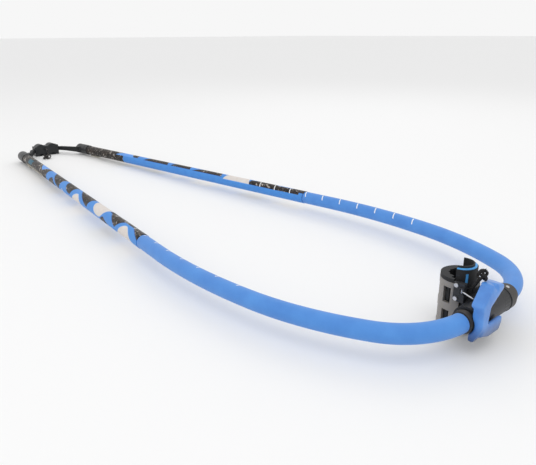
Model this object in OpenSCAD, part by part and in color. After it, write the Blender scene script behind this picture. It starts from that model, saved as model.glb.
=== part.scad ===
// Windsurfing boom (wishbone boom): two curved arms joined in front by one bent tube,
// a clamp head that grips the mast, and a tail piece on two sliding inner tubes.
// Origin: the centre of the mast clamp. X runs from the head to the tail, Z is up, +Y is the left arm.

/* [Mast clamp] */
// Radius of the mast that the clamp grips
mast_r = 16.5; // [15:0.5:17]
// Distance from the mast's axis forward to the front tube's axis
mast_offset = 43; // [43:1:50]
// Height of the front pad above the tube plane
pad_top = 56; // [48:1:60]
// Height of the rear jaw above the tube plane
jaw_top = 35; // [33:1:36]
// Depth of the clamp below the tube plane
clamp_drop = 46; // [44:1:50]

/* [Wishbone outline] */
// Length of the straight front tube on each side of the centre line
nose_len = 58; // [56:1:62]
// Radius of the front bend
nose_bend_r = 133; // [125:1:140]
// Angle of the front bend in degrees
nose_bend_a = 61.9; // [58:0.1:64]
// Radius of the shoulder bend
shoulder_r = 529; // [480:1:560]
// Angle of the shoulder bend in degrees
shoulder_a = 20.9; // [18:0.1:22]
// Radius of the long side bend
side_r = 1108; // [1000:1:1200]
// Angle by which each arm's rear half leans in, in degrees
taper_a = 6.55; // [5:0.05:8]
// Straight tube behind the side bend, up to the printed rear tube
front_run = 74; // [60:1:90]
// Length of each printed rear tube
rear_len = 1021; // [950:1:1060]

/* [Tubes] */
// Outer radius of the bent front tube
tube_r = 12.5; // [12.3:0.1:12.6]
// Outer radius of the foam grip
grip_r = 14.5; // [14:0.1:15]
// Outer radius of the printed rear tube
rear_r = 15.3; // [15:0.1:16]
// Length of each sliding inner tube
inner_len = 560; // [500:10:600]

/* [Tail] */
// Width of the tail block
block_w = 86; // [80:1:90]
// Distance from the arms' ends back to the tail block's centre
block_back = 120; // [112:1:126]

/* [Hidden] */
$fn = 64;
// Running gap between a shaft and its bore, on the radius.
run = 0.05;
// Half the joint between two sections of one bent tube.
hairline = 0.01;
wall = 1.6;
inner_wall = 1.75;
// Long enough to cut through anything here.
through = 200;
tube_x = -mast_offset;
function u(a) = [cos(a), sin(a)];

// Centres and turns of the three bends of the left arm, seen from above.
turn_1 = 180;
turn_2 = turn_1 - nose_bend_a;
turn_3 = turn_2 - shoulder_a;
turn_4 = 90 - taper_a;
bend_1 = [tube_x + nose_bend_r, nose_len];
bend_2 = bend_1 + (nose_bend_r - shoulder_r) * u(turn_2);
bend_3 = bend_2 + (shoulder_r - side_r) * u(turn_3);
run_start = bend_3 + side_r * u(turn_4);
arm_dir = u(-taper_a);
rear_start = run_start + front_run * arm_dir;
arm_end = rear_start + rear_len * arm_dir;
// The stop rings fill the first degrees of the front bend, and the grips follow them.
ring_a = 4;
ring_gap_a = 0.2;
ring_rise = 2;
spigot_len = 60;
// Lock clip's peg, and the pitch of the inner tube's length holes.
peg_back = 32;
peg_r = 3;
// How far the inner tube stands out of the arm inside its plug.
tube_out = 42;
hole_pitch = 25;
hole_count = 9;
collar_len = 16;
collar_lip = 2;
collar_wall = 1.4;
// Lock clip under the arm: its strip, its front foot and its thumb disc.
clip_from = -78;
clip_w = 12;
clip_foot = [14, 16];
clip_t = 3;
clip_z = -rear_r - 3.4;
thumb_r = 7.5;

// Clamp radii, from the mast outwards.
lining = 1.6;
pad_core_r = mast_r + 5;
pad_skin_r = pad_core_r + 1.5;
saddle_r = pad_skin_r + 5;
jaw_in_r = mast_r + 8.5;
jaw_r = jaw_in_r + 4.5;
liner_low = -clamp_drop + 3;
liner_top = jaw_top + 6;
jaw_pin_a = -101.5;
jaw_pin_at = (jaw_in_r + 8) * u(jaw_pin_a);
jaw_pin_r = 2.5;
knuckle_r = 6;
knuckle_h = 12;
knuckle_gap = 0.6;
window = [12.4, 25];
saddle_a = [124, 255];
saddle_top = 28;
pad_a = [100, 260];
jaw_a = [-98, 120];
liner_a = [-85, 85];

// Head barrel on the front tube.
bush_r = 15;
barrel_r = 20;
barrel_w = 55;
sleeve_y = [-42.2, -20.2];
web_y = [-20, 24];
web_z = [-19, 19];
// Screws in the top of the barrel.
collar_screw_y = [-48.5, 44];
collar_screw_r = 2.6;
collar_screw_lean = -20;
// Lever pin, above and ahead of the front tube.
lever_pin = [tube_x - 8, 35];
lever_pin_r = 3;
lever_gap = 1.3;
ear = [1, 16];
ear_r = 7;
// The lever's two cheeks reach from one of these to the other, across the ear.
lever_y = [-3, 25];
// The latch wire's cross bar, in the jaw's catch.
wire_r = 1.1;
catch_screw_x = -12.5;
catch_screw_z = [15, 36];
wire_at = [-21.3, jaw_r + 4.1, 29];

// Tail.
block_x = arm_end[0] + block_back;
sheave_x = block_x - 2;
sheave_r = 9;
block_z = [-19, 15];
block_l = 30;
bump_h = 7;
bump_r = 19;
sheave_y = 20;
sheave_w = 8;
sheave_pin_r = 2.5;
plug_len = 56;
plug_r = rear_r + 1.8;
plug_tip = 5;
foot_at = 26;
foot_size = [20, 12, 22];
foot_y = rear_r + 5;

// Route of the outhaul line, from the gap in the tail block down to the surface and its knot.
line_r = 1.5;
knot_ring = 8.8;
knot_r = 6.8;
// The clamp's thicker cord and its knot, and the groove that lets them past the lever as it opens.
cord_r = 2.4;
cord_y = 19;
groove_w = 6.6;
groove_r = 14.3;
groove_above = 6;
cord_knot_at = [-41.8, cord_y, 56.9];
cord_knot_ring = 3.4;
cord_knot_r = 3;
line_route = [for (p = [
    [-15, 6, 8], [-17, 6, 8], [-19.2, 5.9, 7.6], [-21.2, 5.7, 6.6], [-22.9, 5.4, 5.2], [-24.1, 5, 3.4],
    [-24.8, 4.5, 1.2], [-25, 4, -1.2], [-25, 3.6, -4], [-25.1, 3.2, -7], [-25.6, 3, -10], [-26.8, 3.1, -12.8],
    [-28.6, 3.6, -15.3], [-31, 4.4, -17.2], [-34, 5.5, -18.1], [-38.5, 7.6, -18.4], [-43, 10, -18.4],
    [-48, 12.2, -18.5], [-53, 14.6, -18.6], [-58, 17.2, -18.7], [-63, 19.8, -18.8]])
    [block_x + p[0], p[1], p[2]]];
knot_at = [block_x - 77, 26.5, -13.6];

// A round tube bent about a centre in the boom's plane. Its sections meet at hairline joints.
module bent(centre, radius, a_from, a_to, outer, inner) {
    hair_a = hairline / radius * 180 / PI;
    translate([centre[0], centre[1], 0]) rotate([0, 0, a_to + hair_a])
        rotate_extrude(angle = a_from - a_to - 2 * hair_a, $fn = 360) translate([radius, 0]) difference() {
            circle(outer, $fn = 48);
            circle(inner, $fn = 48);
        }
}

// A round tube from one point of the plane to another, in a given direction.
module straight(start, dir_a, len, outer, inner) {
    translate([start[0], start[1], 0]) rotate([0, 0, dir_a]) rotate([0, 90, 0]) difference() {
        translate([0, 0, hairline]) cylinder(r = outer, h = len - 2 * hairline);
        translate([0, 0, -1]) cylinder(r = inner, h = len + 2);
    }
}

module both_sides() {
    children();
    mirror([0, 1, 0]) children();
}

module on_side(side) {
    if (side > 0) children(); else mirror([0, 1, 0]) children();
}

module front_tube() {
    color("#2a2c30") {
        both_sides() {
            bent(bend_1, nose_bend_r, turn_1, turn_2, tube_r, tube_r - wall);
            bent(bend_2, shoulder_r, turn_2, turn_3, tube_r, tube_r - wall);
            bent(bend_3, side_r, turn_3, turn_4, tube_r, tube_r - wall);
            straight(run_start, -taper_a, front_run + spigot_len, tube_r, tube_r - wall);
        }
        straight([tube_x, -nose_len], 90, 2 * nose_len, tube_r, tube_r - wall);
    }
}

module grip(side) {
    color("#4a8ad6") on_side(side) {
        bent(bend_1, nose_bend_r, turn_1 - ring_a, turn_2, grip_r, tube_r);
        bent(bend_2, shoulder_r, turn_2, turn_3, grip_r, tube_r);
        bent(bend_3, side_r, turn_3, turn_4, grip_r, tube_r);
        straight(run_start, -taper_a, front_run - 0.5, grip_r, tube_r);
    }
}

module stop_ring(side) {
    color("#33302d") on_side(side)
        bent(bend_1, nose_bend_r, turn_1 - 0.3, turn_1 - ring_a + ring_gap_a, grip_r + ring_rise, tube_r);
}

module rear_tube(side) {
    color("#3a3632") difference() {
        on_side(side) straight(rear_start, -taper_a, rear_len, rear_r, tube_r);
        at_arm_end(side) translate([-peg_back, 0, -rear_r - 5]) cylinder(r = peg_r + 0.6, h = rear_r);
    }
}

// Places its children in a frame at an arm's end, X along the arm.
module at_arm_end(side) {
    on_side(side) translate([arm_end[0], arm_end[1], 0]) rotate([0, 0, -taper_a]) children();
}

module end_collar(side) {
    color("#1d1f22") at_arm_end(side) rotate([0, 90, 0]) difference() {
        translate([0, 0, collar_lip - collar_len]) cylinder(r = rear_r + collar_wall, h = collar_len);
        translate([0, 0, -through]) cylinder(r = rear_r, h = through);
        cylinder(r = tube_r + run, h = through, center = true);
    }
}

// A cantilever clip under the arm that snaps its peg into the tube.
module lock_clip(side) {
    color("#c9c4b4") at_arm_end(side) difference() {
        union() {
            translate([clip_from, -clip_w / 2, clip_z]) cube([50, clip_w, clip_t]);
            translate([-peg_back, 0, clip_z]) cylinder(r = thumb_r, h = clip_t);
            translate([clip_from, -clip_foot[1] / 2, clip_z]) cube([clip_foot[0], clip_foot[1], clip_t]);
            translate([-peg_back, 0, -rear_r - 1]) cylinder(r = peg_r, h = 4);
        }
        rotate([0, 90, 0]) translate([0, 0, -peg_back - 8]) cylinder(r = tube_r + 0.4, h = 40);
    }
}

module inner_tube(side) {
    color("#17181a") at_arm_end(side) rotate([0, 90, 0]) translate([0, 0, tube_out - inner_len])
        difference() {
        cylinder(r = tube_r - run, h = inner_len);
        translate([0, 0, -1]) cylinder(r = tube_r - run - inner_wall, h = inner_len + 2);
        // Length holes for the clip's peg, along the underside.
        for (i = [0:hole_count - 1]) translate([0, 0, inner_len - tube_out - peg_back - i * hole_pitch])
            rotate([0, 90, 0]) cylinder(r = peg_r + 0.3, h = 2 * tube_r);
    }
}

// A moulded plug on the inner tube's end, with a foot for the flexible link.
module tail_plug(side) {
    color("#141517") at_arm_end(side) difference() {
        union() {
            translate([collar_lip + 0.4, 0, 0]) rotate([0, 90, 0]) cylinder(r = plug_r, h = plug_len - 6);
            translate([collar_lip + 0.4 + plug_len - 6, 0, 0]) rotate([0, 90, 0])
                cylinder(r1 = plug_r, r2 = plug_r - 4.5, h = plug_tip);
            translate([foot_at, -foot_y, -foot_size[2] / 2]) cube(foot_size);
        }
        rotate([0, 90, 0]) cylinder(r = tube_r - run, h = tube_out);
    }
}

// A flexible strap between the block and a plug, narrow at the block and deep at the plug.
module tail_link(side) {
    y1 = block_w / 2;
    foot = arm_end - (foot_y + 0.3) * u(90 - taper_a);
    color("#101113") on_side(side) difference() {
        linear_extrude(height = 22, center = true) polygon([[block_x - 10, y1], foot + (foot_at + 1) * arm_dir,
            foot + (foot_at + 19) * arm_dir, [block_x - 16, y1 + 18], [block_x + 2, y1]]);
        for (s = [0, 1]) mirror([0, 0, s]) translate([arm_end[0], 0, 0]) rotate([90, 0, 90])
            linear_extrude(height = 200) polygon([[y1 - 1, 7], [y1 + 18, 7], [foot[1] + 5, 10.6],
                [foot[1] + 5, 30], [y1 - 1, 30]]);
        translate([block_x - 9, y1 + 7, -20]) cylinder(r = 2.2, h = 40);
    }
}

module tail_block() {
    color("#141517") difference() {
        union() {
            translate([block_x - block_l / 2, -block_w / 2, block_z[0]])
                cube([block_l, block_w, block_z[1] - block_z[0]]);
            for (y = [-sheave_y, sheave_y + 1])
                translate([block_x - block_l / 2, y, block_z[1] + bump_h - bump_r]) intersection() {
                    rotate([0, 90, 0]) cylinder(r = bump_r, h = block_l);
                    translate([-1, -bump_r, 0]) cube([block_l + 2, 2 * bump_r, bump_r]);
                }
        }
        // Slots for the two sheaves and their pin holes.
        for (y = [-sheave_y, sheave_y]) {
            translate([sheave_x - sheave_r - 1, y - sheave_w / 2 - 1, -12]) cube([40, sheave_w + 2, 24]);
            translate([sheave_x, y - 16, 0]) rotate([-90, 0, 0]) cylinder(r = sheave_pin_r, h = 32);
        }
        // Windows along the lower front edge.
        for (i = [-1:1]) translate([block_x - 18, i * 22 - 5, -17]) cube([10, 11, 4]);
        // The gap between the two housings.
        translate([block_x - 16, -0.5, block_z[1] - 2]) cube([32, 2, 20]);
    }
}

module tail_sheave(side) {
    color("#2b2d31") translate([sheave_x, side * sheave_y, 0]) rotate([-90, 0, 0]) difference() {
        cylinder(r = sheave_r, h = sheave_w, center = true);
        rotate_extrude() translate([sheave_r + 1, 0]) circle(3);
        cylinder(r = sheave_pin_r + run, h = sheave_w + 2, center = true);
    }
}

module sheave_pins() {
    color("#b9bcc0") for (y = [-sheave_y, sheave_y]) translate([sheave_x, y - 15, 0])
        rotate([-90, 0, 0]) cylinder(r = sheave_pin_r, h = 30);
}

// Jam cleat on the front of the block: two cheeks beside the line.
module tail_cleat() {
    color("#23252a") for (s = [-1, 1]) translate([block_x - 18.1, 6 + s * 3.6 - 1.6, 4]) cube([3, 3.2, 8]);
}

module outhaul_line() {
    color("#22201f") sweep(line_route, line_r, 8);
}

// The bulky knot on the line's end, as a closed solid.
module outhaul_knot() {
    color("#2a2725") translate(knot_at) rotate_extrude() translate([knot_ring, 0]) circle(knot_r);
}

function unit(v) = v / norm(v);

// A tube along a list of points, each ring square to the route there.
module sweep(route, r, sides) {
    n = len(route);
    function dir(i) = unit(route[min(i + 1, n - 1)] - route[max(i - 1, 0)]);
    function flat_side(i) = unit(cross(dir(i), [0, 0.2, 1]));
    points = [for (i = [0:n - 1]) for (k = [0:sides - 1]) route[i] + r * (cos(360 * k / sides) * flat_side(i)
        + sin(360 * k / sides) * cross(flat_side(i), dir(i)))];
    faces = [
        for (i = [0:n - 2]) for (k = [0:sides - 1])
            [i * sides + k, i * sides + (k + 1) % sides, (i + 1) * sides + (k + 1) % sides, (i + 1) * sides + k],
        [for (k = [sides - 1:-1:0]) k],
        [for (k = [0:sides - 1]) (n - 1) * sides + k]];
    polyhedron(points, faces);
}

// A cylinder about an axis along Y at (x, z), from y0 to y1.
module across(x, z, y0, y1, r) {
    translate([x, y0, z]) rotate([-90, 0, 0]) cylinder(r = r, h = y1 - y0);
}

// A part of a ring about the mast's axis, between two angles.
module shell(r_out, r_in, a0, a1, z0, z1) {
    translate([0, 0, z0]) rotate([0, 0, a0]) rotate_extrude(angle = a1 - a0, $fn = 180)
        translate([r_in, 0]) square([r_out - r_in, z1 - z0]);
}

module tube_bush() {
    color("#3a3c40") difference() {
        across(tube_x, 0, -nose_len + 0.5, nose_len - 0.5, bush_r);
        across(tube_x, 0, -nose_len - 1, nose_len + 1, tube_r);
    }
}

module head_body() {
    color("#1c1e21") difference() {
        union() {
            across(tube_x, 0, web_y[0], barrel_w, barrel_r);
            // Web from the barrel back to the saddle.
            translate([tube_x, web_y[0], web_z[0]])
                cube([mast_offset - 18, web_y[1] - web_y[0], web_z[1] - web_z[0]]);
            shell(saddle_r, pad_skin_r, saddle_a[0], saddle_a[1], -clamp_drop, saddle_top);
            // Middle knuckle of the jaw's hinge.
            translate([jaw_pin_at[0], jaw_pin_at[1], 0])
                cylinder(r = knuckle_r, h = 2 * knuckle_h, center = true);
            translate([jaw_pin_at[0] - 12, jaw_pin_at[1] - 1, -knuckle_h]) cube([10, 7, 2 * knuckle_h]);
            // Ear that carries the lever.
            across(lever_pin[0], lever_pin[1], ear[0], ear[1], ear_r);
            translate([lever_pin[0] - ear_r, ear[0], 8]) cube([2 * ear_r, ear[1] - ear[0], lever_pin[1] - 8]);
        }
        across(tube_x, 0, -through, through, bush_r + run);
        collar_screw(collar_screw_y[1]);
        cylinder(r = pad_skin_r, h = 2 * through, center = true);
        across(lever_pin[0], lever_pin[1], 0, 20, lever_pin_r);
        translate([jaw_pin_at[0], jaw_pin_at[1], 0]) cylinder(r = jaw_pin_r, h = through, center = true);
        for (z = [knuckle_h, -knuckle_h - 30])
            translate([jaw_pin_at[0], jaw_pin_at[1], z]) cylinder(r = knuckle_r + knuckle_gap, h = 30);
    }
}

// Dark sleeve over the far half of the tube.
module barrel_sleeve() {
    color("#26282c") difference() {
        union() {
            across(tube_x, 0, sleeve_y[0], sleeve_y[1], barrel_r);
            across(tube_x, 0, sleeve_y[0], sleeve_y[0] + 2.2, barrel_r + 0.8);
        }
        across(tube_x, 0, -through, through, bush_r + run);
    }
}

// The band that closes the sleeve's far end.
module sleeve_ring() {
    color("#4b4641") difference() {
        across(tube_x, 0, -barrel_w, sleeve_y[0] - 0.2, barrel_r + 0.6);
        across(tube_x, 0, -through, through, bush_r + run);
        collar_screw(collar_screw_y[0]);
    }
}

// A screw in the top of the barrel.
module collar_screw(y) {
    translate([tube_x, y, 0]) rotate([0, collar_screw_lean, 0]) translate([0, 0, barrel_r - 2])
        cylinder(r = collar_screw_r, h = 3.2);
}

module mast_pad_core() {
    color("#5aaae6") shell(pad_core_r, mast_r + lining, pad_a[0], pad_a[1], -clamp_drop, pad_top);
}

// Black lining of the front pad, which reaches further round the mast above the jaw.
module mast_pad_lining() {
    color("#121315") union() {
        shell(mast_r + lining, mast_r, pad_a[0], pad_a[1], -clamp_drop, liner_top + 3);
        shell(mast_r + lining, mast_r, pad_a[0], pad_a[1] + 32, liner_top + 2, pad_top + 3);
    }
}

module mast_pad_skin() {
    color("#16181b") difference() {
        shell(pad_skin_r, pad_core_r, pad_a[0], pad_a[1], -clamp_drop, pad_top - 1.5);
        // Upright slot that shows the core.
        rotate([0, 0, 140]) translate([pad_core_r - 2, -2.2, 34]) cube([10, 4.4, 15]);
    }
}

module jaw_shell() {
    color("#6f6e6e") difference() {
        union() {
            shell(jaw_r, jaw_in_r, jaw_a[0], jaw_a[1], -clamp_drop, jaw_top);
            for (z = [knuckle_h + 0.3, -2 * knuckle_h - 0.3])
                translate([jaw_pin_at[0], jaw_pin_at[1], z]) cylinder(r = knuckle_r, h = knuckle_h);
            for (z = [knuckle_h + 0.3, -2 * knuckle_h - 0.3])
                translate([jaw_pin_at[0], jaw_pin_at[1] - 0.5, z]) cube([9, 8, knuckle_h]);
        }
        // Windows, two rows on each side.
        for (a = [82, 30, -25], z = [1, -36]) rotate([0, 0, a])
            translate([jaw_in_r - 5, -window[0] / 2, z]) cube([15, window[0], window[1]]);
        translate([jaw_pin_at[0], jaw_pin_at[1], 0])
            cylinder(r = jaw_pin_r + run, h = through, center = true);
        translate([jaw_pin_at[0], jaw_pin_at[1], -knuckle_h - 0.1])
            cylinder(r = knuckle_r + knuckle_gap, h = 2 * knuckle_h + 0.2);
        cylinder(r = jaw_in_r, h = through, center = true);
    }
}

module jaw_liner() {
    color("#141416") difference() {
        union() {
            shell(jaw_in_r, mast_r, liner_a[0], liner_a[1], liner_low, liner_top);
            shell(jaw_r - 0.4, jaw_in_r - 1, liner_a[0], liner_a[1] + 15, jaw_top, liner_top);
        }
        for (a = [-60, -30, 0, 30, 60]) rotate([0, 0, a]) translate([mast_r, 0, liner_low - 1])
            cylinder(r = 1.6, h = through);
    }
}

module jaw_pin() {
    color("#b9bcc0") translate([jaw_pin_at[0], jaw_pin_at[1], -26]) cylinder(r = jaw_pin_r, h = 52);
}

// The catch on the jaw's free edge, held by two screws.
module jaw_catch() {
    color("#2b2d30") difference() {
        union() {
            translate([-25, jaw_r - 4, 10.5]) cube([17, 7.5, 29.5]);
            translate([-25, jaw_r + 3, wire_at[2] - 6]) cube([7, 3, 12]);
        }
        cylinder(r = jaw_r, h = through, center = true);
        for (z = catch_screw_z) translate([catch_screw_x, 20, z]) rotate([-90, 0, 0])
            cylinder(r = 1.6, h = 30);
        // Pocket for the wire's cross bar, and the slot that the wire leaves by.
        translate([wire_at[0] - 1.7, jaw_r + 2.2, wire_at[2] - 3.4]) cube([3.6, 10, 6.8]);
        translate([wire_at[0] - 5, jaw_r + 1.8, wire_at[2] - 3]) cube([5, 10, 4.5]);
    }
}

module catch_screws() {
    color("#c8cacc") for (z = catch_screw_z) translate([catch_screw_x, jaw_r + 0.1, z]) rotate([-90, 0, 0]) {
        cylinder(r = 1.6, h = 3.6);
        translate([0, 0, 3.42]) cylinder(r = 3.2, h = 2);
    }
}

// Steel wire with a cross bar in the jaw's catch, reaching forward and down to the lever.
module latch_wire() {
    color("#d6d8da") translate(wire_at) {
        cylinder(r = wire_r, h = 6, center = true);
        rotate([0, -90 - 24.5, 14]) cylinder(r = wire_r, h = 18.5);
    }
}

module lever_front(x0, y0, y1, z0, z1, depth) {
    translate([tube_x + x0, y0, z0]) cube([depth, y1 - y0, z1 - z0]);
}

module clamp_lever() {
    color("#4b87d7") difference() {
        union() {
            // Head of the lever, over the ear and down beside the barrel.
            hull() {
                lever_front(-22, lever_y[0], 8, 36, 44.5, 23);
                lever_front(-20, 18, lever_y[1], 36, 50, 19);
                lever_front(-26, 36, 62, 22, 30, 18);
            }
            // Handle, round the front of the barrel and down to its tip.
            hull() {
                lever_front(-26, 38, 62, 20, 30, 18);
                lever_front(-29, 48, 66, -2, 4, 19);
                lever_front(-18, 54, 66, -25, -21, 8);
            }
            // Web under the barrel.
            hull() {
                lever_front(-29, 6, 60, -8, 0, 6);
                lever_front(-25, 2, 34, -25, -22, 8);
                lever_front(-26, 40, 60, -16, -12, 8);
            }
            across(lever_pin[0], lever_pin[1], lever_y[0], lever_y[1], ear_r + 1);
        }
        across(tube_x, 0, -through, barrel_w + 0.6, barrel_r + lever_gap);
        across(tube_x, 0, 40, through, grip_r + ring_rise + 0.8);
        // Room for the ear, closed on top by a thin roof.
        across(lever_pin[0], lever_pin[1], ear[0] - 0.4, ear[1] + 0.4, ear_r + 1);
        translate([lever_pin[0] - ear_r - 1, ear[0] - 0.4, lever_pin[1] - 24])
            cube([60, ear[1] - ear[0] + 0.8, 24]);
        translate([lever_pin[0], ear[0] - 0.4, lever_pin[1] - 24]) cube([60, ear[1] - ear[0] + 0.8, 32]);
        across(lever_pin[0], lever_pin[1], -7, lever_y[1] - 2.5, lever_pin_r + run);
        translate([tube_x - 12, 20, 0]) cube([60, 60, 26]);
        difference() {
            translate([tube_x - 30, cord_y - groove_w / 2, lever_pin[1] + groove_above])
                cube([60, groove_w, 30]);
            across(lever_pin[0], lever_pin[1], cord_y - groove_w, cord_y + groove_w, groove_r);
        }
    }
}

module lever_pin() {
    color("#b9bcc0") across(lever_pin[0], lever_pin[1], lever_y[0], lever_y[1] - 2.6, lever_pin_r);
}

module lever_screws() {
    color("#d0d2d4") for (y = collar_screw_y) collar_screw(y);
}

// The clamp's cord: from between the saddle and the web up to its knot.
module clamp_line() {
    color("#1a1a1b") sweep([for (t = [0:5]) [-24 - 3.2 * t, cord_y, 21.5 + 5.8 * t]], cord_r, 10);
}

module clamp_knot() {
    color("#151516") translate(cord_knot_at) rotate([90, 0, 0])
        rotate_extrude() translate([cord_knot_ring, 0]) circle(cord_knot_r);
}

front_tube();
grip(1);  // grip_left
grip(-1);  // grip_right
stop_ring(1);  // stop_ring_left
stop_ring(-1);  // stop_ring_right
rear_tube(1);  // rear_tube_left
rear_tube(-1);  // rear_tube_right
end_collar(1);  // end_collar_left
end_collar(-1);  // end_collar_right
lock_clip(1);  // lock_clip_left
lock_clip(-1);  // lock_clip_right
inner_tube(1);  // inner_tube_left
inner_tube(-1);  // inner_tube_right
tail_plug(1);  // tail_plug_left
tail_plug(-1);  // tail_plug_right
tail_link(1);  // tail_link_left
tail_link(-1);  // tail_link_right
tail_block();
tail_sheave(1);  // tail_sheave_left
tail_sheave(-1);  // tail_sheave_right
sheave_pins();
tail_cleat();
outhaul_line();
outhaul_knot();
tube_bush();
head_body();
barrel_sleeve();
sleeve_ring();
mast_pad_core();
mast_pad_lining();
mast_pad_skin();
jaw_shell();
jaw_liner();
jaw_pin();
jaw_catch();
catch_screws();
latch_wire();
clamp_lever();
lever_pin();
lever_screws();
clamp_line();
clamp_knot();
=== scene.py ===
"""Looks of a windsurfing boom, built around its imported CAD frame. Metres, the CAD's own frame."""

from math import cos, pi, radians, sin, tau

import bpy
import numpy as np
from mathutils import Matrix, Vector


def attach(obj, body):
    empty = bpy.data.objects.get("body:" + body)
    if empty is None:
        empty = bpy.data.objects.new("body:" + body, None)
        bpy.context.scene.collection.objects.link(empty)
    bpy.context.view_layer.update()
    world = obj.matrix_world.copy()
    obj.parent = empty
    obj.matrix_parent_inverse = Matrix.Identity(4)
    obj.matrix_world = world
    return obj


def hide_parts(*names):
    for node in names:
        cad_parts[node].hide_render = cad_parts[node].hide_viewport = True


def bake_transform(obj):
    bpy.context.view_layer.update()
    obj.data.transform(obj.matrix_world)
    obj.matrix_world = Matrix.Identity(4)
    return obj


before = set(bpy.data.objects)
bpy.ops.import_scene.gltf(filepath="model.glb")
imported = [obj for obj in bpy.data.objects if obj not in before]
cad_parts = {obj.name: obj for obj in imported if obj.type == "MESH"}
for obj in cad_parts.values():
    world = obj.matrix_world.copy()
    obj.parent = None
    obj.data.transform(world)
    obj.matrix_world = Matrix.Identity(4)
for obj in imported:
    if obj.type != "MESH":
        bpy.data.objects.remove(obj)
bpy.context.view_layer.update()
MM = 0.001

# The design's own sizes, in millimetres and degrees, as in the CAD source.
TUBE_X, NOSE_LEN = -43.0, 58.0
BENDS = ((133.0, 61.9), (529.0, 20.9), (1108.0, 13.75))
TAPER = 6.55
FRONT_RUN, REAR_LEN = 74.0, 1021.0
TUBE_R, GRIP_R, REAR_R = 12.5, 14.5, 15.3
RING_A = 4.0
BLOCK_BACK, BLOCK_W = 120.0, 86.0


def polar(angle):
    return np.array((cos(radians(angle)), sin(radians(angle))))


# Each bend of the left arm: its start station, radius, start angle and centre.
bends = []
station, angle = NOSE_LEN, 180.0
centre = np.array((TUBE_X + BENDS[0][0], NOSE_LEN))
for i, (radius, sweep_angle) in enumerate(BENDS):
    bends.append((station, radius, angle, centre))
    station += radians(sweep_angle) * radius
    angle -= sweep_angle
    if i + 1 < len(BENDS):
        centre = centre + (radius - BENDS[i + 1][0]) * polar(angle)
RUN_STATION = station
RUN_START = centre + BENDS[-1][0] * polar(angle)
ARM_DIR = polar(-TAPER)
REAR_STATION = RUN_STATION + FRONT_RUN
ARM_END = RUN_START + (FRONT_RUN + REAR_LEN) * ARM_DIR
BLOCK_X = ARM_END[0] + BLOCK_BACK


def arm(s):
    """A point of the left arm's centre line at a distance along the tube, and the outward normal there."""
    if s >= RUN_STATION:
        return RUN_START + (s - RUN_STATION) * ARM_DIR, polar(90 - TAPER)
    start, radius, angle, centre = [b for b in bends if b[0] <= s + 1e-6][-1]
    normal = polar(angle - np.degrees((s - start) / radius))
    return centre + radius * normal, normal


# Camera first: where the object is seen from.
def place_camera():
    yaw, pitch, roll = -0.72, -0.3432, -0.0157
    forward = Vector((cos(pitch) * cos(yaw), cos(pitch) * sin(yaw), sin(pitch)))
    right = forward.cross(Vector((0, 0, 1))).normalized()
    up = right.cross(forward)
    turned_right = cos(roll) * right + sin(roll) * up
    turned_up = cos(roll) * up - sin(roll) * right
    data = bpy.data.cameras.new("camera")
    data.sensor_width = 36
    data.lens = 36.105
    data.clip_start = 0.01
    camera = bpy.data.objects.new("camera", data)
    camera.matrix_world = Matrix((turned_right, turned_up, -forward)).transposed().to_4x4()
    camera.matrix_world.translation = Vector((-0.36049, 0.69672, 0.37031))
    bpy.context.scene.collection.objects.link(camera)
    bpy.context.scene.camera = camera


place_camera()


# ---- small mesh builders ----
def add_object(name, mesh):
    o = bpy.data.objects.new(name, mesh)
    bpy.context.scene.collection.objects.link(o)
    return o


def ring_mesh(name, rings, uvs, closed=False, capped=True):
    """Joins rings of points (n x k x 3, metres) into a tube.

    uvs gives U for each ring. V goes once round each ring, starting at -0.25.
    """
    rings = np.asarray(rings, float)
    n, k = rings.shape[:2]
    faces, loop_uv = [], []
    for i in range(n if closed else n - 1):
        j = (i + 1) % n
        for a in range(k):
            b = (a + 1) % k
            faces.append((i * k + a, i * k + b, j * k + b, j * k + a))
            va, vb = a / k - 0.25, (a + 1) / k - 0.25
            loop_uv += [(uvs[i], va), (uvs[i], vb), (uvs[j], vb), (uvs[j], va)]
    if capped and not closed:
        faces.append(tuple(range(k - 1, -1, -1)))
        faces.append(tuple((n - 1) * k + a for a in range(k)))
        loop_uv += [(uvs[0], 0)] * k + [(uvs[-1], 0)] * k
    mesh = bpy.data.meshes.new(name)
    mesh.from_pydata(rings.reshape(-1, 3).tolist(), [], faces)
    layer = mesh.uv_layers.new(name="UVMap")
    layer.data.foreach_set("uv", np.array(loop_uv, np.float32).ravel())
    mesh.shade_smooth()
    mesh.update()
    return add_object(name, mesh)


def tube_rings(points, radii, sides):
    """Rings about a route, with a frame that doesn't twist."""
    points = np.asarray(points, float)
    radii = np.broadcast_to(radii, len(points))
    tangents = np.gradient(points, axis=0)
    tangents /= np.linalg.norm(tangents, axis=1)[:, None]
    side = np.cross(tangents[0], (0.13, 0.31, 1.0))
    rings = []
    for p, t, r in zip(points, tangents, radii):
        side = side - t * np.dot(side, t)
        side /= np.linalg.norm(side)
        other = np.cross(t, side)
        turn = np.arange(sides) * tau / sides
        rings.append(p + r * (np.cos(turn)[:, None] * side + np.sin(turn)[:, None] * other))
    return rings


def rope(name, points, radius, sides=12):
    points = np.asarray(points, float)
    steps = np.linalg.norm(np.diff(points, axis=0), axis=1)
    return ring_mesh(name, tube_rings(points, radius, sides), np.concatenate(((0,), np.cumsum(steps))))


def join(name, parts):
    bpy.ops.object.select_all(action="DESELECT")
    for o in parts:
        o.select_set(True)
    bpy.context.view_layer.objects.active = parts[0]
    bpy.ops.object.join()
    parts[0].name = name
    return parts[0]


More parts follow.
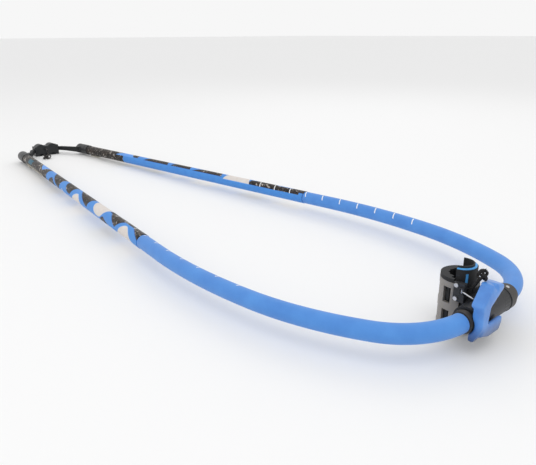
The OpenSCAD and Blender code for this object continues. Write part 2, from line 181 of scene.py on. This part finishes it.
# ---- shader building ----
class Net:
    """Short ways to add nodes to one material."""

    def __init__(self, name):
        self.material = bpy.data.materials.new(name)
        self.material.use_nodes = True
        self.tree = self.material.node_tree
        self.shader = next(n for n in self.tree.nodes if n.type == "BSDF_PRINCIPLED")

    def put(self, socket, value):
        if isinstance(value, bpy.types.NodeSocket):
            self.tree.links.new(value, socket)
        elif isinstance(value, tuple):
            socket.default_value = (*value, 1) if len(socket.default_value) == 4 else value
        else:
            socket.default_value = value

    def node(self, kind, inputs, **settings):
        n = self.tree.nodes.new(kind)
        for key, value in settings.items():
            setattr(n, key, value)
        for key, value in inputs.items():
            self.put(n.inputs[key], value)
        return n

    def math(self, operation, a, b=0.0, c=0.0):
        return self.node("ShaderNodeMath", {0: a, 1: b, 2: c}, operation=operation).outputs[0]

    def mix(self, factor, a, b):
        return self.node("ShaderNodeMix", {0: factor, 6: a, 7: b}, data_type="RGBA").outputs[2]

    def noise(self, scale, detail=2.0, vector=None, distortion=0.0):
        inputs = {"Scale": scale, "Detail": detail, "Distortion": distortion}
        if vector is not None:
            inputs["Vector"] = vector
        return self.node("ShaderNodeTexNoise", inputs).outputs[0]

    def ramp(self, value, low, high):
        """0 below low, 1 above high."""
        inputs = {"Value": value, "From Min": low, "From Max": high}
        return self.node("ShaderNodeMapRange", inputs).outputs[0]

    def place(self):
        return self.node("ShaderNodeTexCoord", {}).outputs["Object"]

    def station_and_turn(self):
        """U, the distance along the tube in metres, and V as degrees about it."""
        uv = self.node("ShaderNodeTexCoord", {}).outputs["UV"]
        split = self.node("ShaderNodeSeparateXYZ", {0: uv})
        return split.outputs[0], self.math("MULTIPLY", split.outputs[1], 360.0)

    def bump(self, height, strength, distance, edge=0.0):
        inputs = {"Height": height, "Strength": strength, "Distance": distance}
        if edge:
            inputs["Normal"] = self.node("ShaderNodeBevel", {"Radius": edge}, samples=4).outputs[0]
        self.put(self.shader.inputs["Normal"], self.node("ShaderNodeBump", inputs).outputs[0])

    def finish(self, colour, roughness, metallic=0.0, coat=0.0):
        self.shader.inputs["Base Color"].default_value = (*colour, 1)
        self.shader.inputs["Roughness"].default_value = roughness
        self.shader.inputs["Metallic"].default_value = metallic
        self.shader.inputs["Coat Weight"].default_value = coat


def moulded(
    name, colour, roughness, grain=1500.0, depth=0.00008, worn=None, metallic=0.0, coat=0.0, edge=0.0006
):
    """A moulded, cast or turned surface: fine grain, uneven sheen, slightly worn colour and eased edges."""
    net = Net(name)
    net.finish(colour, roughness, metallic, coat)
    place = net.place()
    patches = net.noise(45.0, 4.0, place)
    scuffs = net.noise(320.0, 5.0, place, 1.5)
    worn = worn or tuple(min(1.0, c * 1.5 + 0.02) for c in colour)
    wear = net.math("MULTIPLY", net.ramp(patches, 0.42, 0.72), net.ramp(scuffs, 0.45, 0.7))
    net.put(net.shader.inputs["Base Color"], net.mix(wear, colour, worn))
    spread = net.math("MULTIPLY_ADD", net.math("ADD", patches, scuffs), 0.22, roughness - 0.22)
    net.put(net.shader.inputs["Roughness"], spread)
    net.bump(net.noise(grain, 3.0, place), 0.5, depth, edge)
    return net.material


BLUE = (0.062, 0.245, 0.66)
LIGHT_BLUE = (0.19, 0.42, 0.82)
WARM_WHITE = (0.66, 0.60, 0.56)
TICK_WHITE = (0.82, 0.84, 0.86)
TICK_START, TICK_PITCH = 0.421, 0.0508


def tick_mask(net, s, turn):
    """Short slanted marks at even steps along the tube, on its upper inner side."""
    lean = net.math("MULTIPLY_ADD", turn, 0.00009, -TICK_START - 0.0122)
    wrapped = net.math("WRAP", net.math("ADD", s, lean), TICK_PITCH / 2, -TICK_PITCH / 2)
    line = net.math("LESS_THAN", net.math("ABSOLUTE", wrapped), 0.0013)
    along = net.math("COMPARE", s, TICK_START + 4.5 * TICK_PITCH, 5 * TICK_PITCH)
    across = net.math("COMPARE", turn, 123.0, 31.0)
    return net.math("MULTIPLY", line, net.math("MULTIPLY", along, across))


def foam():
    net = Net("grip_foam")
    net.finish(BLUE, 0.7)
    s, turn = net.station_and_turn()
    place = net.place()
    mottle = net.noise(28.0, 4.0, place)
    pores = net.noise(2600.0, 2.0, place)
    base = net.mix(net.ramp(mottle, 0.3, 0.75), (0.055, 0.225, 0.63), (0.085, 0.29, 0.72))
    base = net.mix(net.math("MULTIPLY", net.ramp(pores, 0.55, 0.75), 0.35), base, (0.04, 0.17, 0.5))
    net.put(net.shader.inputs["Base Color"], net.mix(tick_mask(net, s, turn), base, TICK_WHITE))
    net.put(net.shader.inputs["Roughness"], net.math("MULTIPLY_ADD", mottle, 0.3, 0.5))
    net.shader.inputs["Sheen Weight"].default_value = 0.15
    net.bump(net.math("MULTIPLY_ADD", net.noise(420.0, 3.0, place), 0.5, pores), 0.35, 0.0002)
    return net.material


def camouflage(net, s, turn):
    """Dark brown and grey scribbles."""
    around = net.math("MULTIPLY", turn, REAR_R * MM * pi / 180)
    flat = net.node("ShaderNodeCombineXYZ", {0: s, 1: around}).outputs[0]
    strokes = net.noise(62.0, 4.0, flat, 1.6)
    blotches = net.noise(40.0, 3.0, flat, 1.0)
    colour = net.mix(net.ramp(blotches, 0.42, 0.6), (0.006, 0.005, 0.005), (0.030, 0.020, 0.016))
    colour = net.mix(net.ramp(strokes, 0.55, 0.58), colour, (0.055, 0.048, 0.043))
    colour = net.mix(net.ramp(strokes, 0.62, 0.64), colour, (0.44, 0.40, 0.36))
    hairs = net.noise(120.0, 2.0, flat, 2.5)
    line = net.math("LESS_THAN", net.math("ABSOLUTE", net.math("SUBTRACT", hairs, 0.5)), 0.008)
    return net.mix(net.math("MULTIPLY", line, 0.4), colour, (0.40, 0.36, 0.32))


def leaf(net, s, turn, middle, ahead, behind, low, high, power, hanging, stop=128.0):
    """How far inside a leaf shape each point is, in degrees.

    The leaf stands on low and rises to high, or hangs from stop down to low.
    """
    across = net.math(
        "MAXIMUM",
        net.math("DIVIDE", net.math("SUBTRACT", s, middle), behind),
        net.math("DIVIDE", net.math("SUBTRACT", middle, s), ahead),
    )
    rise = net.math("POWER", net.math("MAXIMUM", across, 0.0), power)
    if not hanging:
        edge = net.math("MULTIPLY_ADD", rise, low - high, high)
        return net.math("SUBTRACT", edge, turn)
    edge = net.math("MULTIPLY_ADD", rise, high - low, low)
    return net.math("MINIMUM", net.math("SUBTRACT", turn, edge), net.math("SUBTRACT", stop, turn))


# Printed leaves from the grip to the tail: middle, reach ahead and behind along the tube in metres, low
# and high edge in degrees, sharpness, whether it hangs, where a hanging one stops, and what fills it.
LEAVES = (
    (0.722, 0.030, 0.068, 4, 108, 0.9, True, 128, "camo"),
    (0.856, 0.036, 0.056, 6, 108, 1.1, True, 150, "camo"),
    (1.046, 0.018, 0.100, 0, 130, 1.2, True, 132, "camo"),
    (1.192, 0.026, 0.056, 4, 110, 2.2, True, 130, "camo"),
    (1.294, 0.024, 0.094, -30, 130, 1.2, True, 134, "camo"),
    (0.968, 0.046, 0.044, -10, 112, 2.6, True, 152, "white"),
    (0.804, 0.052, 0.048, -80, 68, 1.7, False, 0, "white"),
    (1.128, 0.046, 0.060, -90, 54, 1.7, False, 0, "white"),
    (0.930, 0.030, 0.028, -40, 16, 1.4, False, 0, "camo"),
    (1.366, 0.050, 0.058, -90, 38, 1.6, False, 0, "camo"),
    (1.262, 0.012, 0.010, -60, 2, 1.5, False, 0, "white"),
)


def printed():
    net = Net("print_tube")
    net.finish((0.08, 0.16, 0.33), 0.42)
    s, turn = net.station_and_turn()
    place = net.place()
    camo = camouflage(net, s, turn)
    shade = net.noise(60.0, 3.0, place)
    colour = net.mix(net.ramp(shade, 0.3, 0.7), BLUE, (0.075, 0.28, 0.7))
    fills = {"camo": camo, "white": net.mix(net.ramp(shade, 0.35, 0.7), WARM_WHITE, (0.72, 0.68, 0.65))}
    for middle, ahead, behind, low, high, power, hanging, stop, fill in LEAVES:
        inside = leaf(net, s, turn, middle, ahead, behind, low, high, power, hanging, stop)
        rim = LIGHT_BLUE if fill == "white" else (0.03, 0.11, 0.36)
        colour = net.mix(net.math("GREATER_THAN", inside, -5.0), colour, rim)
        colour = net.mix(net.math("GREATER_THAN", inside, 0.0), colour, fills[fill])
    # The dark block on the upper inner side, then plain camouflage towards the tail with one blue patch.
    on_top = net.math("COMPARE", turn, 122.0, 30.0)
    block = net.math("MULTIPLY", net.math("COMPARE", s, 0.832, 0.085), on_top)
    colour = net.mix(block, colour, camo)
    outer = net.math("MULTIPLY", net.math("GREATER_THAN", s, 1.428), net.math("LESS_THAN", turn, 130.0))
    colour = net.mix(net.math("MAXIMUM", outer, net.math("GREATER_THAN", s, 1.506)), colour, camo)
    patch = leaf(net, s, turn, 1.484, 0.032, 0.062, 46, 130, 1.3, True, 140.0)
    colour = net.mix(net.math("GREATER_THAN", patch, 0.0), colour, (0.12, 0.33, 0.8))
    teal = net.math("MULTIPLY", net.math("COMPARE", s, 1.636, 0.024), net.math("COMPARE", turn, 42.0, 30.0))
    colour = net.mix(teal, colour, (0.02, 0.11, 0.17))
    label = net.math("MULTIPLY", net.math("COMPARE", s, 1.58, 0.105), net.math("COMPARE", turn, -26.0, 20.0))
    label = net.math("MULTIPLY", label, net.ramp(net.noise(900.0, 2.0, place), 0.4, 0.5))
    colour = net.mix(label, colour, (0.42, 0.38, 0.29))
    net.put(net.shader.inputs["Base Color"], net.mix(tick_mask(net, s, turn), colour, TICK_WHITE))
    net.put(net.shader.inputs["Roughness"], net.math("MULTIPLY_ADD", shade, 0.35, 0.26))
    net.shader.inputs["Specular IOR Level"].default_value = 0.2
    net.bump(net.noise(1400.0, 3.0, place), 0.3, 0.00006, 0.0005)
    return net.material


def braid(name, dark, light, pitch=0.0042):
    """Braided line: two families of crossing strands, with lighter flecks. U runs along it, V around it."""
    net = Net(name)
    net.finish(dark, 0.85)
    uv = net.node("ShaderNodeTexCoord", {}).outputs["UV"]
    split = net.node("ShaderNodeSeparateXYZ", {0: uv})
    along = net.math("MULTIPLY", split.outputs[0], tau / pitch)
    around = net.math("MULTIPLY", split.outputs[1], tau * 3)
    one = net.math("SINE", net.math("ADD", along, around))
    two = net.math("SINE", net.math("SUBTRACT", along, around))
    strands = net.math("MAXIMUM", one, two)
    flecks = net.ramp(net.noise(700.0, 2.0, net.place()), 0.56, 0.66)
    lit = net.math("MULTIPLY", flecks, net.ramp(strands, 0.2, 0.9))
    net.put(net.shader.inputs["Base Color"], net.mix(lit, dark, light))
    net.bump(strands, 0.8, 0.0004)
    return net.material


def lever_paint():
    """Semi-gloss blue, with painted shade that darkens it to navy towards the lever's lower web."""
    net = Net("lever_blue")
    net.finish((0.058, 0.21, 0.60), 0.36, coat=0.25)
    place = net.place()
    height = net.node("ShaderNodeSeparateXYZ", {0: place}).outputs[2]
    cloud = net.noise(60.0, 4.0, place)
    colour = net.mix(net.ramp(cloud, 0.35, 0.7), (0.055, 0.20, 0.58), (0.075, 0.26, 0.68))
    # Painted shade: the colour darkens to navy from 4 mm above z = 0 down to 24 mm below it, standing in for
    # the shadow under the lever.
    colour = net.mix(net.ramp(height, 0.004, -0.024), colour, (0.016, 0.058, 0.19))
    scuffs = net.noise(420.0, 5.0, place, 2.0)
    colour = net.mix(net.ramp(scuffs, 0.66, 0.8), colour, (0.14, 0.36, 0.78))
    net.put(net.shader.inputs["Base Color"], colour)
    net.put(net.shader.inputs["Roughness"], net.math("MULTIPLY_ADD", scuffs, 0.35, 0.2))
    net.bump(net.noise(1300.0, 3.0, place), 0.4, 0.00004)
    return net.material


def ribbed(name, colour, roughness):
    """The sleeve's fine lengthwise ribs over a moulded surface."""
    net = Net(name)
    net.finish(colour, roughness)
    place = net.place()
    split = net.node("ShaderNodeSeparateXYZ", {0: place})
    turn = net.math("ARCTAN2", split.outputs[2], net.math("SUBTRACT", split.outputs[0], TUBE_X * MM))
    ribs = net.math("SINE", net.math("MULTIPLY", turn, 24.0))
    scuffs = net.noise(300.0, 4.0, place)
    worn = tuple(c * 1.8 for c in colour)
    net.put(net.shader.inputs["Base Color"], net.mix(net.ramp(scuffs, 0.5, 0.8), colour, worn))
    net.put(net.shader.inputs["Roughness"], net.math("MULTIPLY_ADD", scuffs, 0.3, roughness - 0.15))
    net.bump(net.math("MULTIPLY_ADD", ribs, 0.5, scuffs), 0.5, 0.0004, 0.0005)
    return net.material


def brushed(name):
    net = Net(name)
    net.finish((0.62, 0.62, 0.63), 0.28, 1.0)
    place = net.place()
    stretched = net.node("ShaderNodeMapping", {"Vector": place, "Scale": (1.0, 1.0, 22.0)}).outputs[0]
    lines = net.noise(500.0, 3.0, stretched)
    net.put(net.shader.inputs["Roughness"], net.math("MULTIPLY_ADD", lines, 0.3, 0.12))
    net.bump(lines, 0.25, 0.00006, 0.0004)
    return net.material


FOAM = foam()
PRINT = printed()
ROPE_DARK = braid("rope_dark", (0.012, 0.011, 0.011), (0.05, 0.047, 0.045))
ROPE_FLECKED = braid("rope_flecked", (0.02, 0.018, 0.018), (0.62, 0.6, 0.58), 0.0034)
STEEL = brushed("steel")
BLACK = moulded("black_plastic", (0.008, 0.009, 0.011), 0.42)
HEAD = moulded("head_plastic", (0.012, 0.013, 0.016), 0.45)
RUBBER = moulded("black_rubber", (0.006, 0.0065, 0.008), 0.68, 900.0, 0.0001)
SATIN = moulded("tube_black", (0.028, 0.030, 0.034), 0.34, 2200.0, 0.00003)
RING = moulded("ring_grey", (0.040, 0.035, 0.030), 0.5)
CLIP = moulded("clip_plastic", (0.55, 0.52, 0.45), 0.5, worn=(0.3, 0.27, 0.22))
PAD_BLUE = moulded("pad_blue", (0.075, 0.36, 0.80), 0.55, 1100.0, 0.0001)
JAW_GREY = moulded(
    "jaw_grey", (0.25, 0.232, 0.215), 0.42, 1800.0, 0.00005, worn=(0.30, 0.285, 0.27), metallic=0.25
)
LEVER_BLUE = lever_paint()
SLEEVE = ribbed("sleeve_plastic", (0.011, 0.012, 0.014), 0.46)


# ---- cords ----
LINE_R, CORD_R = 1.5, 2.4
CORD_START, CORD_KNOT = (-24.0, 19.0, 21.5), (-41.8, 19.0, 56.9)


def outhaul():
    """The short line over the front of the tail block, down to the surface and its knot.

    The route is the CAD source's own, in millimetres from the tail block.
    """
    route = (
        (-15, 6, 8), (-17, 6, 8), (-19.2, 5.9, 7.6), (-21.2, 5.7, 6.6), (-22.9, 5.4, 5.2),
        (-24.1, 5, 3.4), (-24.8, 4.5, 1.2), (-25, 4, -1.2), (-25, 3.6, -4), (-25.1, 3.2, -7),
        (-25.6, 3, -10), (-26.8, 3.1, -12.8),
        (-28.6, 3.6, -15.3), (-31, 4.4, -17.2), (-34, 5.5, -18.1), (-38.5, 7.6, -18.4), (-43, 10, -18.4),
        (-48, 12.2, -18.5), (-53, 14.6, -18.6), (-58, 17.2, -18.7), (-63, 19.8, -18.8),
    )
    points = [((BLOCK_X + x) * MM, y * MM, z * MM) for x, y, z in route]
    data = bpy.data.curves.new("outhaul_cord", "CURVE")
    data.dimensions = "3D"
    data.bevel_depth = LINE_R * MM
    data.bevel_resolution = 4
    data.use_fill_caps = True
    spline = data.splines.new("POLY")
    spline.points.add(len(points) - 1)
    for p, target in zip(spline.points, points):
        p.co = (*target, 1)
    spline.use_smooth = True
    data.materials.append(ROPE_FLECKED)
    line = add_object("outhaul_cord", data)
    knot_at = ((BLOCK_X - 77) * MM, 26.5 * MM, -12.9 * MM)
    knot = tied_knot("outhaul_tied_knot", knot_at, 8.4, 5.0, 2.2, 3, ROPE_FLECKED)
    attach(line, "tail")
    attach(knot, "tail")
    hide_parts("outhaul_line")
    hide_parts("outhaul_knot")


def tied_knot(
    name, at, ring, minor, radius, turns, material, tilt=(0, 0), frayed=10, fray_dir=(-0.4, 0.5, 0.5)
):
    """A bulky knot: a rope wound as a torus knot, with a frayed end. Sizes in millimetres, at in metres."""
    t = np.linspace(0, tau, 150)[:-1]
    wobble = 1 + 0.08 * np.sin(5 * t + 1)
    across = ring + minor * np.cos(turns * t) * wobble
    rise = minor * 1.05 * np.sin(turns * t)
    points = np.stack((across * np.cos(2 * t), across * np.sin(2 * t), rise), 1) * MM
    rings = tube_rings(np.vstack((points, points[:2])), radius * MM, 10)[: len(points)]
    body = ring_mesh(name, rings, np.arange(len(points)) * 0.0011, closed=True)
    strands = [body]
    rng = np.random.default_rng(7)
    start = np.array(fray_dir) * (ring + minor * 0.5) * MM
    for i in range(frayed):
        lean = np.array(fray_dir) + rng.normal(0, 0.28, 3)
        reach = rng.uniform(3.5, 6.5) * MM
        steps = np.linspace(0, 1, 5)[:, None]
        curl = rng.normal(0, 0.9, 3) * MM
        strand = start + steps * lean * reach + steps**2 * curl
        strands.append(rope(f"{name}_strand_{i}", strand, np.linspace(0.45, 0.22, 5) * MM, 5))
    whole = join(name, strands)
    whole.data.materials.clear()
    whole.data.materials.append(material)
    tilted = Matrix.Rotation(radians(tilt[1]), 4, "Y") @ Matrix.Rotation(radians(tilt[0]), 4, "X")
    whole.matrix_world = Matrix.Translation(at) @ tilted
    return whole


outhaul()


def clamp_rope():
    """The clamp's thicker line, from the head up to its knot."""
    steps = np.linspace(0, 1, 26)
    bow = np.sin(steps * pi)
    x = (CORD_START[0] - 16 * steps + 0.7 * bow) * MM
    y = (CORD_START[1] + 0.6 * bow) * MM
    z = (CORD_START[2] + 30 * steps) * MM
    line = rope("clamp_rope", np.stack((x, y, z), 1), CORD_R * MM, 14)
    line.data.materials.append(ROPE_DARK)
    knot_at = tuple(c * MM for c in CORD_KNOT)
    knot = tied_knot(
        "clamp_tied_knot", knot_at, 4.6, 3.0, 2.1, 3, ROPE_DARK, (90, 20), 14, (-0.75, 0.75, -0.15)
    )
    for piece, node in ((line, "clamp_line"), (knot, "clamp_knot")):
        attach(piece, "head")
        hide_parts(node)


clamp_rope()


# ---- tubes with their own stations ----
def grip(side, name):
    """The foam sleeve from the stop ring to the printed tube, with rolled ends."""
    first = NOSE_LEN + radians(RING_A) * BENDS[0][0] + 0.3
    last = REAR_STATION - 0.6
    roll = ((0, 12.9), (0, 13.5), (0.35, 14.1), (0.9, 14.38), (1.8, GRIP_R))
    outer = [(first + d, r) for d, r in roll]
    outer += [(s, GRIP_R) for s in np.linspace(first + 4, last - 4, 124)]
    outer += [(last - d, r) for d, r in reversed(roll)]
    inner = [(s, TUBE_R + 0.06) for s in np.linspace(last, first, 124)]
    sides = 64
    rings, stations = [], []
    for s, r in outer + inner:
        p, n = arm(s)
        turn = radians(-90) + np.arange(sides) * tau / sides
        out = r * np.cos(turn)
        ring = np.stack((p[0] + out * n[0], p[1] + out * n[1], r * np.sin(turn)), 1) * MM
        ring[:, 1] *= side
        rings.append(ring)
        stations.append(s * MM)
    o = ring_mesh(f"grip_sleeve_{name}", rings, stations, closed=True)
    if side > 0:
        o.data.flip_normals()
    o.data.materials.append(FOAM)
    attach(o, "frame")
    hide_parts(f"grip_{name}")


def copy_of(node, name):
    """A copy of a CAD node's mesh as a new piece."""
    o = add_object(name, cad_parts[node].data.copy())
    o.data.materials.clear()
    return o


def printed_tube(side, name):
    """The rear tube, with its distance along the arm and the angle about it as texture coordinates."""
    o = copy_of(f"rear_tube_{name}", f"printed_tube_{name}")
    normal = polar(90 - TAPER)
    co = np.array([v.co for v in o.data.vertices], float).reshape(-1, 3) / MM
    co[:, 1] *= side
    flat = co[:, :2] - RUN_START
    s = RUN_STATION + flat @ ARM_DIR
    turn = np.degrees(np.arctan2(co[:, 2], flat @ normal)) / 360
    turn = np.where(turn < -0.25, turn + 1, turn)
    layer = o.data.uv_layers.active or o.data.uv_layers.new(name="UVMap")
    for face in o.data.polygons:
        values = turn[list(face.vertices)]
        if values.max() - values.min() > 0.5:
            values = np.where(values > 0.4, values - 1, values)
        for loop, vertex, v in zip(face.loop_indices, face.vertices, values):
            layer.data[loop].uv = (s[vertex] * MM, v)
    o.data.materials.append(PRINT)
    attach(o, "frame")
    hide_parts(f"rear_tube_{name}")


for side, name in ((1, "left"), (-1, "right")):
    grip(side, name)
    printed_tube(side, name)


# ---- moulded pieces, softened from their CAD shapes ----
def soften(node, name, material, body, voxel=0.9, rounds=6):
    """Rounds a CAD node's edges as moulding does."""
    o = copy_of(node, name)
    remesh = o.modifiers.new("remesh", "REMESH")
    remesh.mode = "VOXEL"
    remesh.voxel_size = voxel * MM
    smooth = o.modifiers.new("smooth", "SMOOTH")
    smooth.factor = 0.5
    smooth.iterations = rounds
    bpy.context.view_layer.update()
    mesh = bpy.data.meshes.new_from_object(o.evaluated_get(bpy.context.evaluated_depsgraph_get()))
    o.modifiers.clear()
    o.data = mesh
    mesh.materials.clear()
    mesh.materials.append(material)
    mesh.shade_smooth()
    if body:
        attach(o, body)
    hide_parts(node)
    return o


soften("clamp_lever", "lever_moulding", LEVER_BLUE, "lever", 1.3, 30)
soften("tail_block", "tail_block_moulding", BLACK, "tail", 0.9, 5)
for side, name in ((1, "left"), (-1, "right")):
    plug = soften(f"tail_plug_{name}", f"tail_plug_moulding_{name}", BLACK, f"inner_{name}", 0.9, 4)
    strap = soften(f"tail_link_{name}", f"tail_strap_{name}", RUBBER, None, 0.9, 5)
    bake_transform(strap)

# ---- CAD nodes that are shown as they are ----
SHOWN = {
    SATIN: ("front_tube", "inner_tube_left", "inner_tube_right"),
    RING: ("stop_ring_left", "stop_ring_right", "sleeve_ring"),
    BLACK: (
        "end_collar_left", "end_collar_right", "tail_sheave_left", "tail_sheave_right", "tail_cleat",
    ),
    CLIP: ("lock_clip_left", "lock_clip_right"),
    STEEL: ("sheave_pins", "jaw_pin", "catch_screws", "latch_wire", "lever_pin", "lever_screws"),
    RUBBER: ("tube_bush", "mast_pad_skin", "mast_pad_lining", "jaw_liner"),
    HEAD: ("head_body", "jaw_catch"),
    SLEEVE: ("barrel_sleeve",),
    PAD_BLUE: ("mast_pad_core",),
    JAW_GREY: ("jaw_shell",),
}
for material, nodes in SHOWN.items():
    for node in nodes:
        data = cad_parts[node].data
        data.materials.clear()
        data.materials.append(material)


# ---- floor and light ----
def floor():
    """A pale floor that touches the head's lowest edge and the tail block's."""
    front, back = (29.5, -46.0), (BLOCK_X + 15, -19.0)
    slope = (back[1] - front[1]) / (back[0] - front[0])
    reach = 60000
    corners = []
    for x, y in ((-reach, -reach), (reach, -reach), (reach, reach), (-reach, reach)):
        corners.append((x * MM, y * MM, (front[1] + slope * (x - front[0]) - 0.3) * MM))
    mesh = bpy.data.meshes.new("floor")
    mesh.from_pydata(corners, [], [(0, 1, 2, 3)])
    o = add_object("floor", mesh)
    net = Net("floor")
    net.finish((0.88, 0.88, 0.88), 0.9)
    mesh.materials.append(net.material)


def area_light(name, at, target, size, watts, colour=(1, 1, 1)):
    data = bpy.data.lights.new(name, "AREA")
    data.energy, data.size, data.color = watts, size, colour
    o = bpy.data.objects.new(name, data)
    o.location = at
    o.rotation_euler = (Vector(target) - Vector(at)).to_track_quat("-Z", "Y").to_euler()
    bpy.context.scene.collection.objects.link(o)


floor()
area_light("key", (-0.9, 0.6, 2.6), (0.5, 0, 0), 1.6, 10)
area_light("fill", (1.5, 2.2, 1.8), (0.8, 0, 0), 2.0, 5)
area_light("rim", (1.6, -2.0, 2.2), (0.8, 0, 0), 1.6, 7)
world = bpy.data.worlds.new("studio")
world.use_nodes = True
background = next(n for n in world.node_tree.nodes if n.type == "BACKGROUND")
background.inputs["Color"].default_value = (1, 1, 1, 1)
background.inputs["Strength"].default_value = 0.93
bpy.context.scene.world = world
bpy.context.scene.view_settings.view_transform = "Standard"
